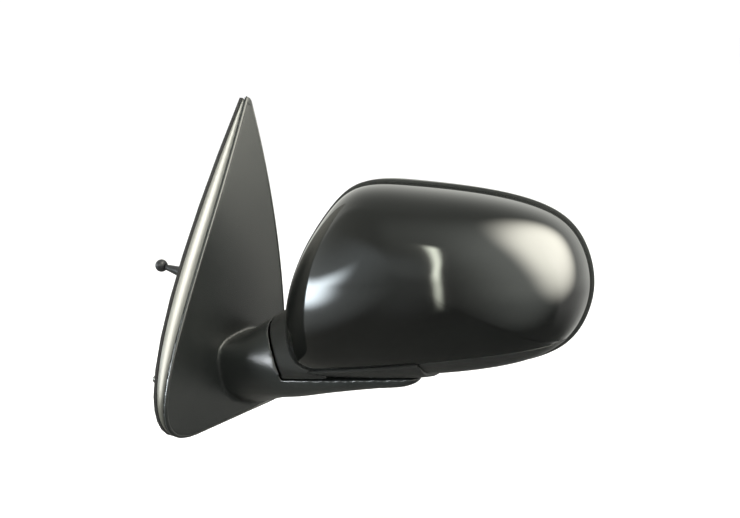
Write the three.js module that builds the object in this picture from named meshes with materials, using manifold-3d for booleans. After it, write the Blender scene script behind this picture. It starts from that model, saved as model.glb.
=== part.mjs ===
// A foldaway car side mirror for a left-hand door, adjusted by a stick and three control cables.
// Units are millimetres. The door plane is X = 0, +X points away from the car, +Y to the rear, +Z up.
// The origin is the centre of the die-cast bracket's flat door face.
import * as THREE from "three";
import { mergeVertices } from "three/addons/utils/BufferGeometryUtils.js";
import Module from "manifold-3d";

const wasm = await Module();
wasm.setup();

// ---- Driving dimensions ----
const GAP = 0.35; // between pieces that touch
const WALL = 2.8; // moulded plastic wall
const DEG = Math.PI / 180;

// The sail, the tall triangular foot that closes the front corner of the door window, in (Y, Z).
const SAIL_TIP = [37.5, 180.5];
const SAIL_TIP_REAR = [42.5, 178.5];
const SAIL_REAR_LOW = [85, -52];
const SAIL_BOTTOM_REAR = [70, -69];
const SAIL_BOTTOM_FRONT = [-32, -75.2];
const SAIL_CORNER = [-80.5, -78.5];
const SAIL_FRONT_LOW = [-80.5, -38];
const SAIL_FRONT_PULL = [-79, 26];
const SAIL_INCENTRE = [8, -13]; // scaling the outline about this point insets it evenly
const SAIL_INRADIUS = 61;
const FACE_RADIUS = 720; // the outer face is a shallow barrel, bent about a line along Y
const FACE_CREST = [18.2, 54]; // its highest point, in (X, Z)
const FACE_PLATE = 2.6;
const SKIRT_WALL = 3;
const GASKET_DEPTH = 2.4;
const GASKET_INSET = 0.4; // of its outer edge from the sail's outline
const GASKET_WINDOW = 8; // of its inner edge

// The fold axis and the head that turns on it.
const PIVOT = new THREE.Vector3(100, 20, -26.8);
const AXIS_TILT = 5 * DEG; // the axis leans towards the car, so that the folding head rises
const HEAD_SWEEP = 10 * DEG; // the head's outer end lies further back
const FOLD_REARWARD = 70;
const FOLD_FORWARD = 40;
const SOCKET = [[46, 0], [49, 12], [50.5, 28], [50, 40], [46.5, 52], [44, 80]]; // radius, height in the foot
const NECK_CLEARANCE = 1.2;

// The head in its own frame: u outwards, w to the rear, v up the fold axis.
const HEAD_OUTLINE = [
  [-37, 32], [-33, 60], [-18, 94], [6, 125], [29, 146], [70, 140.5], [120, 132.5], [163, 120.5],
  [190, 102], [200, 66], [193, 38], [173, 11], [120, 2.8], [60, 1.3], [0, 1.2], [-31, 4],
];
const HEAD_CENTRE = [80, 73];
const GIRTH_W = 8; // where the outline is largest
const NOSE_W = -64;
const RIM_W = 38;
const RIM_SHRINK = 0.07;
const NOSE_POWER = 2.6;
const CHIN_POWER = 1.6; // added to the power along the underside, where the section is squarer
const CAP_WALL = 2.5;
const HOUSING_WALL = 3.4; // thick enough to run into the flange under the cap
const FLANGE_INNER = 5.2;
const FLANGE_AHEAD = 9; // of the cap's rear edge
const FLANGE_BEHIND = 4;

// The tub that holds the glass.
const TUB_LEFT = 18;
const TUB_RIGHT = 184;
const TUB_LOW = 13;
const TUB_HIGH = 128;
const TUB_FLOOR_W = 5;
const GLASS_W = 31; // outer face of the glass
const GLASS_THICK = 2.2;
const GLASS_RADIUS = 1400;
const GLASS_INSET = 2.4;
const GLASS_PIVOT = [103, 15, 74];
const GLASS_TILT = 7;
const MOUNT_SCREW_RING = 20;
const FRAME_BOSS_RADIUS = 5.5;

// The adjusting stick on the door side.
const STICK_PIVOT = new THREE.Vector3(-14, -8.5, 42.8);
const STICK_RISE = 11 * DEG;
const STICK_BALL_RADIUS = 5;
const STICK_LENGTH = 36;
const STICK_RING = 8.2; // wires on the stick's spider
const GLASS_RING = 14.6; // wires behind the glass

const STUDS = { upper: [22, 108], front: [-50, -32], rear: [58, -44] };
const STUD_RADIUS = 3;
const BRACKET_TOP = 124;
const STUD_REACH = 22;
const CABLE_RADIUS = 1.2; // sheath
const WIRE_RADIUS = 0.8;
const CABLE_ANGLES = [90, 210, 330].map((a) => a * DEG);
const POST_RING = 2.7; // the sheaths inside the fold post
const CABLE_BREAK = 30; // height up the fold axis where the sheaths pass from foot to head

// ---- Materials ----
function plastic(color, roughness) {
  return new THREE.MeshStandardMaterial({ color, roughness, metalness: 0 });
}
function metal(color, roughness) {
  return new THREE.MeshStandardMaterial({ color, roughness, metalness: 1 });
}
const GRAINED_BLACK = plastic(0x2b2d2b, 0.6);
const SATIN_BLACK = plastic(0x202220, 0.35);
const GLOSS_BLACK = plastic(0x0b0c0b, 0.06);
const NYLON_BLACK = plastic(0x18191a, 0.5);
const FOAM = plastic(0x141414, 0.95);
const RUBBER = plastic(0x1a1a1a, 0.8);
const ZINC = metal(0xa9aaa6, 0.45);
const STEEL = metal(0xc0c2c4, 0.25);
const MIRROR = metal(0xe8ecf0, 0.02);

// ---- Solids ----
function toSolid(geometry) {
  const bare = geometry.index ? geometry.toNonIndexed() : geometry.clone();
  bare.deleteAttribute("normal");
  bare.deleteAttribute("uv");
  const merged = mergeVertices(bare, 1e-4);
  return new wasm.Manifold(
    new wasm.Mesh({
      numProp: 3,
      vertProperties: merged.attributes.position.array,
      triVerts: new Uint32Array(merged.index.array),
    }),
  );
}

function toGeometry(solid) {
  const mesh = solid.getMesh();
  const position = new Float32Array(mesh.numVert * 3);
  for (let i = 0; i < mesh.numVert; i++) {
    position.set(mesh.vertProperties.subarray(i * mesh.numProp, i * mesh.numProp + 3), i * 3);
  }
  const geometry = new THREE.BufferGeometry();
  geometry.setAttribute("position", new THREE.BufferAttribute(position, 3));
  geometry.setIndex(new THREE.BufferAttribute(mesh.triVerts, 1));
  geometry.computeVertexNormals();
  return geometry;
}

function union(...solids) {
  return solids.reduce((all, one) => all.add(one));
}

function cut(solid, ...tools) {
  return tools.reduce((left, tool) => left.subtract(tool), solid);
}

// A closed solid through rings of equal length, with a fan of triangles over each end.
function loft(rings) {
  const count = rings[0].length;
  const points = rings.flat();
  const index = [];
  for (let r = 0; r + 1 < rings.length; r++) {
    for (let i = 0; i < count; i++) {
      const a = r * count + i;
      const b = r * count + ((i + 1) % count);
      index.push(a, b, b + count, a, b + count, a + count);
    }
  }
  const ends = [[rings[0], 0, true], [rings.at(-1), (rings.length - 1) * count, false]];
  for (const [ring, first, flip] of ends) {
    const middle = points.length;
    points.push(ring.reduce((sum, p) => sum.add(p), new THREE.Vector3()).divideScalar(count));
    for (let i = 0; i < count; i++) {
      const a = first + i;
      const b = first + ((i + 1) % count);
      index.push(...(flip ? [b, a, middle] : [a, b, middle]));
    }
  }
  const volume = index.reduce((sum, _, i) => {
    if (i % 3) return sum;
    const [p, q, r] = [points[index[i]], points[index[i + 1]], points[index[i + 2]]];
    return sum + p.dot(q.clone().cross(r));
  }, 0);
  if (volume < 0) {
    for (let i = 0; i < index.length; i += 3) [index[i], index[i + 1]] = [index[i + 1], index[i]];
  }
  const geometry = new THREE.BufferGeometry();
  geometry.setAttribute("position", new THREE.Float32BufferAttribute(points.flatMap((p) => p.toArray()), 3));
  geometry.setIndex(index);
  return toSolid(geometry);
}

// A solid of revolution about +Z from (radius, height) pairs. The profile is closed along the axis.
function turned(profile, segments = 20) {
  const points = [[0, profile[0][1]], ...profile, [0, profile.at(-1)[1]]];
  const geometry = new THREE.LatheGeometry(points.map(([r, z]) => new THREE.Vector2(r, z)), segments);
  geometry.rotateX(Math.PI / 2);
  return facingOut(geometry);
}

function facingOut(geometry) {
  const solid = toSolid(geometry);
  if (solid.volume() > 0) return solid;
  const flipped = geometry.index ? geometry.toNonIndexed() : geometry.clone();
  const p = flipped.attributes.position.array;
  for (let i = 0; i < p.length; i += 9) {
    for (let k = 0; k < 3; k++) [p[i + k], p[i + 3 + k]] = [p[i + 3 + k], p[i + k]];
  }
  return toSolid(flipped);
}

function cylinder(radius, low, high, segments = 20) {
  return turned([[radius, low], [radius, high]], segments);
}

function tube(inner, outer, low, high, segments = 24) {
  return cut(cylinder(outer, low, high, segments), cylinder(inner, low - 1, high + 1, segments));
}

function box(low, high) {
  const geometry = new THREE.BoxGeometry(high[0] - low[0], high[1] - low[1], high[2] - low[2]);
  geometry.translate((low[0] + high[0]) / 2, (low[1] + high[1]) / 2, (low[2] + high[2]) / 2);
  return toSolid(geometry);
}

// A flat polygon pushed along one axis. plane is "yz", "xz" or "xy".
function prism(points, low, high, plane) {
  const shape = new THREE.Shape(points.map(([a, b]) => new THREE.Vector2(a, b)));
  const geometry = new THREE.ExtrudeGeometry(shape, { depth: high - low, bevelEnabled: false });
  geometry.translate(0, 0, low);
  const axes = {
    yz: [[0, 1, 0], [0, 0, 1], [1, 0, 0]],
    xz: [[1, 0, 0], [0, 0, 1], [0, 1, 0]],
    xy: [[1, 0, 0], [0, 1, 0], [0, 0, 1]],
  }[plane].map((axis) => new THREE.Vector3(...axis));
  geometry.applyMatrix4(new THREE.Matrix4().makeBasis(...axes));
  return facingOut(geometry);
}

function moved(solid, matrix) {
  return solid.transform(matrix.elements);
}

function at(x, y, z) {
  return new THREE.Matrix4().makeTranslation(x, y, z);
}

// Turns +Z to a direction and moves the origin to a point.
function along(direction, point) {
  const turn = new THREE.Quaternion().setFromUnitVectors(
    new THREE.Vector3(0, 0, 1),
    new THREE.Vector3(...direction).normalize(),
  );
  return new THREE.Matrix4().compose(new THREE.Vector3(...point), turn, new THREE.Vector3(1, 1, 1));
}

// A round rod through points, smoothly bent.
function rod(points, radius, steps, sides = 6) {
  const curve = new THREE.CatmullRomCurve3(points.map((p) => new THREE.Vector3(...p)), false, "centripetal");
  const section = new THREE.Shape();
  for (let i = 0; i < sides; i++) {
    const a = (i / sides) * 2 * Math.PI;
    const place = [radius * Math.cos(a), radius * Math.sin(a)];
    i ? section.lineTo(...place) : section.moveTo(...place);
  }
  section.closePath();
  return facingOut(new THREE.ExtrudeGeometry(section, { steps, extrudePath: curve, bevelEnabled: false }));
}

// ---- Closed smooth outlines ----
// The closed uniform cubic B-spline of a control polygon, as count points.
function spline(control, count) {
  const n = control.length;
  return Array.from({ length: count }, (_, k) => {
    const t = (k / count) * n;
    const i = Math.floor(t);
    const f = t - i;
    const weights = [(1 - f) ** 3, 3 * f ** 3 - 6 * f ** 2 + 4, -3 * f ** 3 + 3 * f ** 2 + 3 * f + 1, f ** 3];
    const sum = [0, 0];
    weights.forEach((weight, j) => {
      const p = control[(i + j + n - 1) % n];
      sum[0] += (weight * p[0]) / 6;
      sum[1] += (weight * p[1]) / 6;
    });
    return sum;
  });
}

// Moves each point of a closed outline inwards along its normal.
function inset(outline, distance) {
  const n = outline.length;
  const area = outline.reduce((sum, p, i) => {
    const q = outline[(i + 1) % n];
    return sum + p[0] * q[1] - q[0] * p[1];
  }, 0);
  return outline.map((p, i) => {
    const [before, after] = [outline[(i + n - 1) % n], outline[(i + 1) % n]];
    const [dx, dy] = [after[0] - before[0], after[1] - before[1]];
    const scale = (Math.sign(area) * distance) / Math.hypot(dx, dy);
    return [p[0] - dy * scale, p[1] + dx * scale];
  });
}

// ---- The sail ----
function sailOutline(distance = 0) {
  const path = new THREE.Path();
  path.moveTo(...SAIL_TIP);
  path.lineTo(...SAIL_TIP_REAR);
  path.lineTo(...SAIL_REAR_LOW);
  path.quadraticCurveTo(SAIL_REAR_LOW[0] + 2, SAIL_BOTTOM_REAR[1] + 1, ...SAIL_BOTTOM_REAR);
  path.lineTo(...SAIL_BOTTOM_FRONT);
  path.quadraticCurveTo(...SAIL_CORNER, ...SAIL_FRONT_LOW);
  path.quadraticCurveTo(...SAIL_FRONT_PULL, ...SAIL_TIP);
  const k = 1 - distance / SAIL_INRADIUS;
  return path.getPoints(7).slice(0, -1).map((p) => [
    SAIL_INCENTRE[0] + k * (p.x - SAIL_INCENTRE[0]),
    SAIL_INCENTRE[1] + k * (p.y - SAIL_INCENTRE[1]),
  ]);
}

// Everything under the barrel face lowered by depth.
function underFace(depth) {
  const geometry = new THREE.CylinderGeometry(FACE_RADIUS, FACE_RADIUS, 400, 120);
  geometry.translate(FACE_CREST[0] - FACE_RADIUS - depth, 0, FACE_CREST[1]);
  return toSolid(geometry);
}

function sailBlock(distance, low, depth) {
  return prism(sailOutline(distance), low, 40, "yz").intersect(underFace(depth));
}

// ---- The arm that reaches from the sail, round the fold pivot and on under the head ----
// Sections in (Y, Z) at stations along X. The first points run down the front.
const ARM_STATIONS = [2, 22, 45, 70, 100, 140, 165, 178];
const ARM_SECTIONS = [
  [[-18, -21], [-17, -7], [-2, -5], [30, -4], [58, -12], [64, -42], [54, -68], [22, -61], [-4, -50]],
  [[-18, -21], [-17, -8], [-4, -3], [28, 2], [58, -8], [64, -40], [53, -65], [22, -59], [-6, -48]],
  [[-19, -22], [-18, -9], [-8, 4], [16, 16], [46, 10], [60, -28], [50, -56], [20, -54], [-8, -45]],
  [[-19, -26], [-18, -11], [-11, 8], [2, 26], [38, 26], [58, -18], [48, -48], [18, -50], [-8, -42.5]],
  [[-16, -28], [-16, -14], [-11, 8], [4, 26], [36, 26], [54, -16], [46, -40], [18, -43], [-8, -37.5]],
  [[-9, -24], [-9, -16], [-6, -8], [4, -6], [22, -6], [38, -14], [36, -29], [16, -34.5], [-4, -31]],
  [[-4, -23], [-4, -17], [-2, -12], [4, -10], [16, -10], [25, -15], [24, -24], [13, -29], [0, -28]],
  [[-1, -20.5], [-1, -17], [1, -14], [4, -13], [11, -13], [16, -16], [15, -21], [9, -23.5], [1, -23]],
];
const ARM_POINTS = 26;

// from and to pick the stations between which the arm, or its hollow, runs.
function arm(distance, from = 0, to = ARM_STATIONS.length) {
  const rings = [];
  for (let i = from; i < to; i++) {
    const outline = inset(spline(ARM_SECTIONS[i], ARM_POINTS), distance);
    rings.push(outline.map(([y, z]) => new THREE.Vector3(ARM_STATIONS[i], y, z)));
  }
  return loft(rings);
}

// ---- The fold axis ----
const pivotMatrix = new THREE.Matrix4()
  .makeTranslation(PIVOT)
  .multiply(new THREE.Matrix4().makeRotationY(-AXIS_TILT))
  .multiply(new THREE.Matrix4().makeRotationZ(HEAD_SWEEP));

// Places a solid made in the head's frame in the door's frame.
function fromHead(solid) {
  return moved(solid, pivotMatrix);
}

// The space of the turning head: round inside the foot's socket, and all of the space above the deck
// outside it.
function headSpace(grow) {
  const socket = SOCKET.map(([r, v]) => [r + grow, v]);
  socket[0][1] = -grow;
  return fromHead(union(turned(socket, 40), box([0, -90, -grow], [140, 90, 80])));
}

// ---- The head's outer shape ----
const HEAD_POINTS = 36;
const NOSE_STEPS = [0.22, 0.42, 0.6, 0.75, 0.87, 0.95, 0.988];
const headOutline = spline(HEAD_OUTLINE, HEAD_POINTS);

function headRing(shrinkOf, distance, w) {
  return inset(headOutline, distance).map(([u, v], i) => {
    const k = shrinkOf(headOutline[i]);
    const [u0, v0] = HEAD_CENTRE;
    return new THREE.Vector3(u0 + k * (u - u0), w, v0 + k * (v - v0));
  });
}

function powerAt([u, v]) {
  const down = (HEAD_CENTRE[1] - v) / Math.hypot(u - HEAD_CENTRE[0], v - HEAD_CENTRE[1]);
  return NOSE_POWER + CHIN_POWER * Math.max(0, down) ** 2;
}

// The whole head as one closed shape, inset by distance on every side.
function headBlock(distance) {
  const rings = [RIM_W, 30, 20].map((w) => {
    const k = 1 - RIM_SHRINK * ((w - GIRTH_W) / (RIM_W - GIRTH_W)) ** 2;
    return headRing(() => k, distance, w === RIM_W ? w - distance : w);
  });
  rings.push(headRing(() => 1, distance, GIRTH_W));
  for (const step of NOSE_STEPS) {
    const depth = (GIRTH_W - NOSE_W - distance) * step;
    rings.push(headRing((p) => (1 - step ** powerAt(p)) ** (1 / powerAt(p)), distance, GIRTH_W - depth));
  }
  return loft(rings);
}

// The cap's rear edge and its lower edge, as straight cuts in plan and in elevation.
const CAP_EDGE_PLAN = [[-80, -14], [260, 26]]; // (u, w)
const CAP_EDGE_CHIN = [[-80, 3.5], [260, 27.5]]; // (u, v)

function aheadOfCapEdge(shift) {
  const [a, b] = CAP_EDGE_PLAN;
  return prism([[a[0], -100], [b[0], -100], [b[0], b[1] + shift], [a[0], a[1] + shift]], -20, 180, "xy");
}

function belowChin(shift) {
  const [a, b] = CAP_EDGE_CHIN;
  return prism([[a[0], -20], [b[0], -20], [b[0], b[1] + shift], [a[0], a[1] + shift]], -120, 120, "xz");
}

const TRIM_SPLIT_U = 84;

// ---- The tub and the glass outlines ----
function tubOutline(distance) {
  const [us, vs] = [headOutline.map((p) => p[0]), headOutline.map((p) => p[1])];
  const [left, low] = [Math.min(...us), Math.min(...vs)];
  const [width, height] = [Math.max(...us) - left, Math.max(...vs) - low];
  const fitted = headOutline.map(([u, v]) => [
    TUB_LEFT + ((u - left) / width) * (TUB_RIGHT - TUB_LEFT),
    TUB_LOW + ((v - low) / height) * (TUB_HIGH - TUB_LOW),
  ]);
  return inset(fitted, distance);
}

function tubBlock(distance, low, high) {
  const ring = (w) => tubOutline(distance).map(([u, v]) => new THREE.Vector3(u, w, v));
  return loft([ring(low), ring(high)]);
}

// A slightly domed sheet with the tub's outline.
function domedSheet(distance, rear, thick) {
  const scales = [1, 0.55];
  const ring = (k, w) => tubOutline(distance).map(([u, v]) => {
    const [du, dv] = [k * (u - GLASS_PIVOT[0]), k * (v - GLASS_PIVOT[2])];
    const fall = (du * du + dv * dv) / (2 * GLASS_RADIUS);
    return new THREE.Vector3(GLASS_PIVOT[0] + du, w - fall, GLASS_PIVOT[2] + dv);
  });
  const outer = scales.map((k) => ring(k, rear)).reverse();
  const inner = scales.map((k) => ring(k, rear - thick));
  return loft([...outer, ...inner]);
}

// ---- Pieces of the fixed foot ----
function seatHole() {
  return fromHead(cylinder(20.6, -WALL - 1.5, 4, 28));
}

function baseCover() {
  const hollow = cut(arm(WALL, 0, 7), headSpace(WALL));
  return cut(union(sailBlock(0, -5, 0), arm(0)), underFace(FACE_PLATE), hollow, headSpace(0), seatHole());
}

function sailFrame() {
  const outer = sailBlock(0.7, GASKET_DEPTH + GAP, FACE_PLATE + GAP);
  const inner = sailBlock(0.7 + SKIRT_WALL, -6, -2);
  return cut(outer, inner);
}

function doorGasket() {
  const sheet = prism(sailOutline(GASKET_INSET), 0, GASKET_DEPTH, "yz");
  return cut(sheet, prism(sailOutline(GASKET_WINDOW), -1, GASKET_DEPTH + 1, "yz"));
}

// The die-cast bracket: a ribbed plate against the door, a beam through the arm and the fold pivot's seat.
const SOCKET_CENTRE = [STICK_PIVOT.y, STICK_PIVOT.z - 3.5];
const TAB_PLACES = [-21, 20.5].map((rise) => [SOCKET_CENTRE[0], SOCKET_CENTRE[1] + rise]);

const slotTurn = new THREE.Matrix4().makeRotationZ(35 * DEG);
const cableSlot = new THREE.Matrix4().makeTranslation(PIVOT).multiply(slotTurn);

function baseBracket() {
  const plate = prism(sailOutline(15), 0, 4, "yz");
  const rib = cut(prism(sailOutline(15), 0, 9, "yz"), prism(sailOutline(18), -1, 12, "yz"));
  const bosses = Object.values(STUDS).map((p) => moved(cylinder(8, 0, 8), along([1, 0, 0], [0, ...p])));
  const plateTop = box([-1, -200, BRACKET_TOP], [40, 200, 200]);
  const casting = cut(union(plate, rib, ...bosses), plateTop).intersect(underFace(FACE_PLATE + 1));
  const windows = [
    prism([[0, 72], [28, 72], [26, 92], [14, 92]], -1, 12, "yz"),
    prism([[24, 12], [58, 12], [50, 50], [24, 50]], -1, 12, "yz"),
    moved(cylinder(18.5, -2, 14, 32), along([1, 0, 0], [0, ...SOCKET_CENTRE])),
  ];
  const beam = prism(
    [[3, -14], [24, -22], [62, -32], [112, -29], [112, -36], [80, -42], [40, -50], [3, -54]], 12, 40, "xz",
  );
  const inArm = cut(beam.intersect(arm(WALL + 0.5, 0, 7)), headSpace(WALL + 0.5));
  const seat = fromHead(cylinder(20, -11, 1.4, 32)).intersect(union(arm(WALL + 0.5, 0, 7), headSpace(3)));
  const bore = fromHead(cylinder(9 + GAP, -30, 10, 24));
  const channel = moved(box([-60, -6, -25], [2, 6, -4.5]), cableSlot);
  const studHoles = Object.values(STUDS).map((p) => (
    moved(cylinder(STUD_RADIUS + GAP, -2, 5), along([1, 0, 0], [0, ...p]))
  ));
  const tabHoles = TAB_PLACES.map((p) => moved(cylinder(1.65, -2, 5, 12), along([1, 0, 0], [0, ...p])));
  return cut(union(cut(casting, ...windows), inArm, seat), bore, channel, ...studHoles, ...tabHoles);
}

// A stud threaded into its boss, with its free end through the door.
function stud(place) {
  const profile = [[STUD_RADIUS - 0.7, -STUD_REACH], [STUD_RADIUS, -STUD_REACH + 1.4], [STUD_RADIUS, 4.6]];
  return moved(turned(profile, 16), along([1, 0, 0], [0, ...place]));
}

// ---- The fold pivot ----
function pivotPost() {
  const outer = turned([[9, -2.5], [9, 60.6], [7.4, 60.6], [7.4, 62.9], [9, 62.9], [9, 64], [8.2, 65]], 24);
  return fromHead(cut(outer, cylinder(5.6, -20, 80, 24)));
}

const LUG_ANGLES = [90 * DEG, 270 * DEG];

function sector(inner, outer, low, high, from, to) {
  const steps = Math.max(2, Math.ceil((to - from) / (12 * DEG)));
  const edge = (r) => Array.from({ length: steps + 1 }, (_, i) => {
    const a = from + ((to - from) * i) / steps;
    return [r * Math.cos(a), r * Math.sin(a)];
  });
  return prism([...edge(outer), ...edge(inner).reverse()], low, high, "xy");
}

// The fixed stop ring with two lugs, and the turning ring whose arc slots let them travel.
function stopRing() {
  const lugs = LUG_ANGLES.map((a) => sector(12.5, 17.5, 3.4, 6.4, a - 7 * DEG, a + 7 * DEG));
  return fromHead(union(tube(9 + GAP, 19, 1.4 + GAP, 4, 32), ...lugs));
}

function slotRing() {
  const slots = LUG_ANGLES.map((a) => sector(
    11.9, 18.1, 4, 7.2, a - (FOLD_REARWARD + 9) * DEG, a + (FOLD_FORWARD + 9) * DEG,
  ));
  return fromHead(cut(tube(9 + GAP, 19.6, 4 + GAP, 8.4, 32), ...slots));
}

const SPRING_LOW = 35;
const SPRING_HIGH = 56.4;

function foldSpring() {
  const turns = 4;
  const [mean, wire] = [12, 1.5];
  const perTurn = 12;
  const points = Array.from({ length: turns * perTurn + 1 }, (_, i) => {
    const a = (i / perTurn) * 2 * Math.PI;
    const rise = (SPRING_HIGH - SPRING_LOW - 2 * wire) * (i / (turns * perTurn));
    return [mean * Math.cos(a), mean * Math.sin(a), SPRING_LOW + wire + rise];
  });
  return fromHead(rod(points, wire, turns * perTurn, 5));
}

function springWasher() {
  return fromHead(tube(9 + GAP, 15, 57, 60.4, 32));
}

function retainingRing() {
  const ring = tube(7.7, 13, 61, 62.5, 24);
  return fromHead(cut(ring, sector(5, 20, 60, 64, 80 * DEG, 100 * DEG)));
}

// ---- Pieces of the folding head ----
const headOuter = headBlock(0);
const headInner = headBlock(CAP_WALL);
const headSkin = cut(headOuter, headInner);

function frontCap() {
  return fromHead(cut(headSkin.intersect(aheadOfCapEdge(0)), belowChin(0)));
}

function lowerTrim() {
  const strip = headSkin.intersect(aheadOfCapEdge(0)).intersect(belowChin(-GAP));
  return fromHead(strip.intersect(box([TRIM_SPLIT_U + 0.4, -100, -20], [260, 100, 180])));
}

// The hollow neck: the part of the arm's shape that turns with the head.
function neck() {
  const socket = SOCKET.map(([r, v]) => [r - NECK_CLEARANCE, v]);
  socket[0][1] = NECK_CLEARANCE;
  const cavity = SOCKET.map(([r, v]) => [r - NECK_CLEARANCE - WALL, v]);
  cavity[0][1] = NECK_CLEARANCE + WALL;
  const outer = fromHead(turned(socket, 40)).intersect(arm(0, 2, 6));
  const hollow = fromHead(turned(cavity, 24)).intersect(arm(WALL, 2, 6));
  const keep = fromHead(box([-60, -60, 0], [4, 60, 60]));
  return cut(outer, hollow).intersect(keep);
}

function mirrorHousing() {
  const rearWall = cut(headOuter, headBlock(HOUSING_WALL), aheadOfCapEdge(GAP));
  const chin = headSkin.intersect(aheadOfCapEdge(2)).intersect(belowChin(-GAP))
    .intersect(box([-60, -100, -20], [TRIM_SPLIT_U, 100, 180]));
  const flangeStock = cut(headBlock(CAP_WALL + GAP), headBlock(FLANGE_INNER), aheadOfCapEdge(-FLANGE_AHEAD));
  const flange = flangeStock.intersect(aheadOfCapEdge(FLANGE_BEHIND));
  const tub = cut(tubBlock(-WALL, TUB_FLOOR_W - WALL, RIM_W), tubBlock(0, TUB_FLOOR_W, RIM_W + 5));
  const shell = cut(union(rearWall, chin, flange), tubBlock(-1, TUB_FLOOR_W + 1, RIM_W + 5));
  const body = union(shell, tub.intersect(headOuter));
  const neckLocal = moved(neck(), pivotMatrix.clone().invert());
  const capSkin = cut(headBlock(-GAP), headBlock(CAP_WALL + GAP), belowChin(-GAP));
  const capSpace = capSkin.intersect(aheadOfCapEdge(GAP));
  const neckPiece = cut(neckLocal, capSpace, headInner);
  const holes = [
    cylinder(20.6, -5, 15, 32),
    ...MOUNT_SCREWS.map((a) => moved(cylinder(1.65, -6, 6, 12),
      mountMatrix(TUB_FLOOR_W).multiply(onMountRing(a, 0)))),
    moved(cylinder(17, -10, 20, 24), along([0, 1, 0], [GLASS_PIVOT[0], TUB_FLOOR_W, GLASS_PIVOT[2]])),
    ...FRAME_SCREWS.map(([u, v]) => moved(cylinder(2.1, -20, 20, 12), along([0, 1, 0], [u, TUB_FLOOR_W, v]))),
  ];
  return fromHead(cut(union(body, neckPiece), ...holes));
}

const FRAME_SCREWS = [[62, 34], [58, 112], [150, 76]];
const MOUNT_SCREWS = [30, 150, 270].map((a) => a * DEG);
const FRAME_FACE_W = TUB_FLOOR_W - WALL - GAP;

// The die-cast frame: a hub on the post and a flat ribbed plate behind the cap.
function headFrame() {
  const hub = union(cylinder(19, 8.4 + GAP, 14, 32), cylinder(14.5, 14, 34.6, 24));
  const outline = [
    [6, 10], [30, 24], [74, 22], [160, 62], [160, 90], [70, 124], [46, 118], [30, 60], [17, 36], [6, 33],
  ];
  const plate = prism(outline, FRAME_FACE_W - 4, FRAME_FACE_W, "xz");
  const windows = [
    prism([[50, 58], [72, 44], [80, 58], [76, 92], [62, 100], [52, 84]], -30, 30, "xz"),
    moved(cylinder(18, -30, 30, 24), along([0, 1, 0], [GLASS_PIVOT[0], 0, GLASS_PIVOT[2]])),
  ];
  const spine = prism([[6, 12], [60, 30], [60, 36], [6, 32]], FRAME_FACE_W - 13, FRAME_FACE_W - 3, "xz");
  const bosses = FRAME_SCREWS.map(([u, v]) => {
    return moved(cylinder(FRAME_BOSS_RADIUS, -16, 0), along([0, 1, 0], [u, FRAME_FACE_W, v]));
  });
  const body = cut(union(hub, plate, spine, ...bosses), ...windows);
  const screwHoles = FRAME_SCREWS.map(([u, v]) => (
    moved(cylinder(2, -14, 20, 12), along([0, 1, 0], [u, FRAME_FACE_W, v]))
  ));
  return fromHead(cut(body, cylinder(9 + GAP, 0, 80, 24), ...screwHoles));
}

function screw(headRadius, headHeight, shankRadius, length) {
  const body = turned([[shankRadius * 0.4, -length], [shankRadius, -length + 2], [shankRadius, 0],
    [headRadius, 0], [headRadius, headHeight * 0.6], [headRadius * 0.7, headHeight]], 12);
  return cut(body, cylinder(headRadius * 0.45, headHeight * 0.3, headHeight + 1, 6));
}

function frameScrew([u, v]) {
  return fromHead(moved(screw(4, 2.4, 1.65, 15), along([0, 1, 0], [u, TUB_FLOOR_W + GAP, v])));
}

// The glass carrier: a disc on the tub's floor with a fork that holds the pivot cross above and below.

function glassMount() {
  const [u, w, v] = GLASS_PIVOT;
  const disc = cylinder(24, 0, 3, 32);
  const earTop = w - TUB_FLOOR_W + 5;
  const ears = [box([-5, 8.6, 1], [5, 13, earTop]), box([-5, -13, 1], [5, -8.6, earTop])];
  const pinHole = moved(cylinder(2.3, -20, 20, 16), along([0, 1, 0], [0, 0, w - TUB_FLOOR_W - GAP]));
  const screwHoles = MOUNT_SCREWS.map((a) => moved(cylinder(1.7, -5, 9, 12), onMountRing(a, 0)));
  const cableHoles = CABLE_ANGLES.map((a) => (
    moved(cylinder(CABLE_RADIUS + 0.4, -5, 9, 10), ringPlace(GLASS_RING, a))
  ));
  const local = cut(union(disc, ...ears), pinHole, ...screwHoles, ...cableHoles);
  return fromHead(moved(local, mountMatrix(TUB_FLOOR_W + GAP)));
}

// The mount's frame: its +Z is the head's +w, its +Y the head's +v.
function onMountRing(angle, height) {
  return at(MOUNT_SCREW_RING * Math.cos(angle), MOUNT_SCREW_RING * Math.sin(angle), height);
}

function mountMatrix(w) {
  const basis = new THREE.Matrix4().makeBasis(
    new THREE.Vector3(-1, 0, 0), new THREE.Vector3(0, 0, 1), new THREE.Vector3(0, 1, 0),
  );
  return at(GLASS_PIVOT[0], w, GLASS_PIVOT[2]).multiply(basis);
}

function mountScrew(angle) {
  const local = moved(screw(2.8, 1.8, 1.3, 5), onMountRing(angle, 3 + GAP));
  return fromHead(moved(local, mountMatrix(TUB_FLOOR_W + GAP)));
}

function pivotCross(size, pin, reach) {
  const block = box([-size, -size, -size], [size, size, size]);
  const pinAxes = [[1, 0, 0], [0, 1, 0]];
  const pins = pinAxes.map((d) => moved(cylinder(pin, -reach, reach, 16), along(d, [0, 0, 0])));
  return union(block, ...pins);
}

function glassCross() {
  return fromHead(moved(pivotCross(5, 2, 12.6), mountMatrix(GLASS_PIVOT[1])));
}

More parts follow.
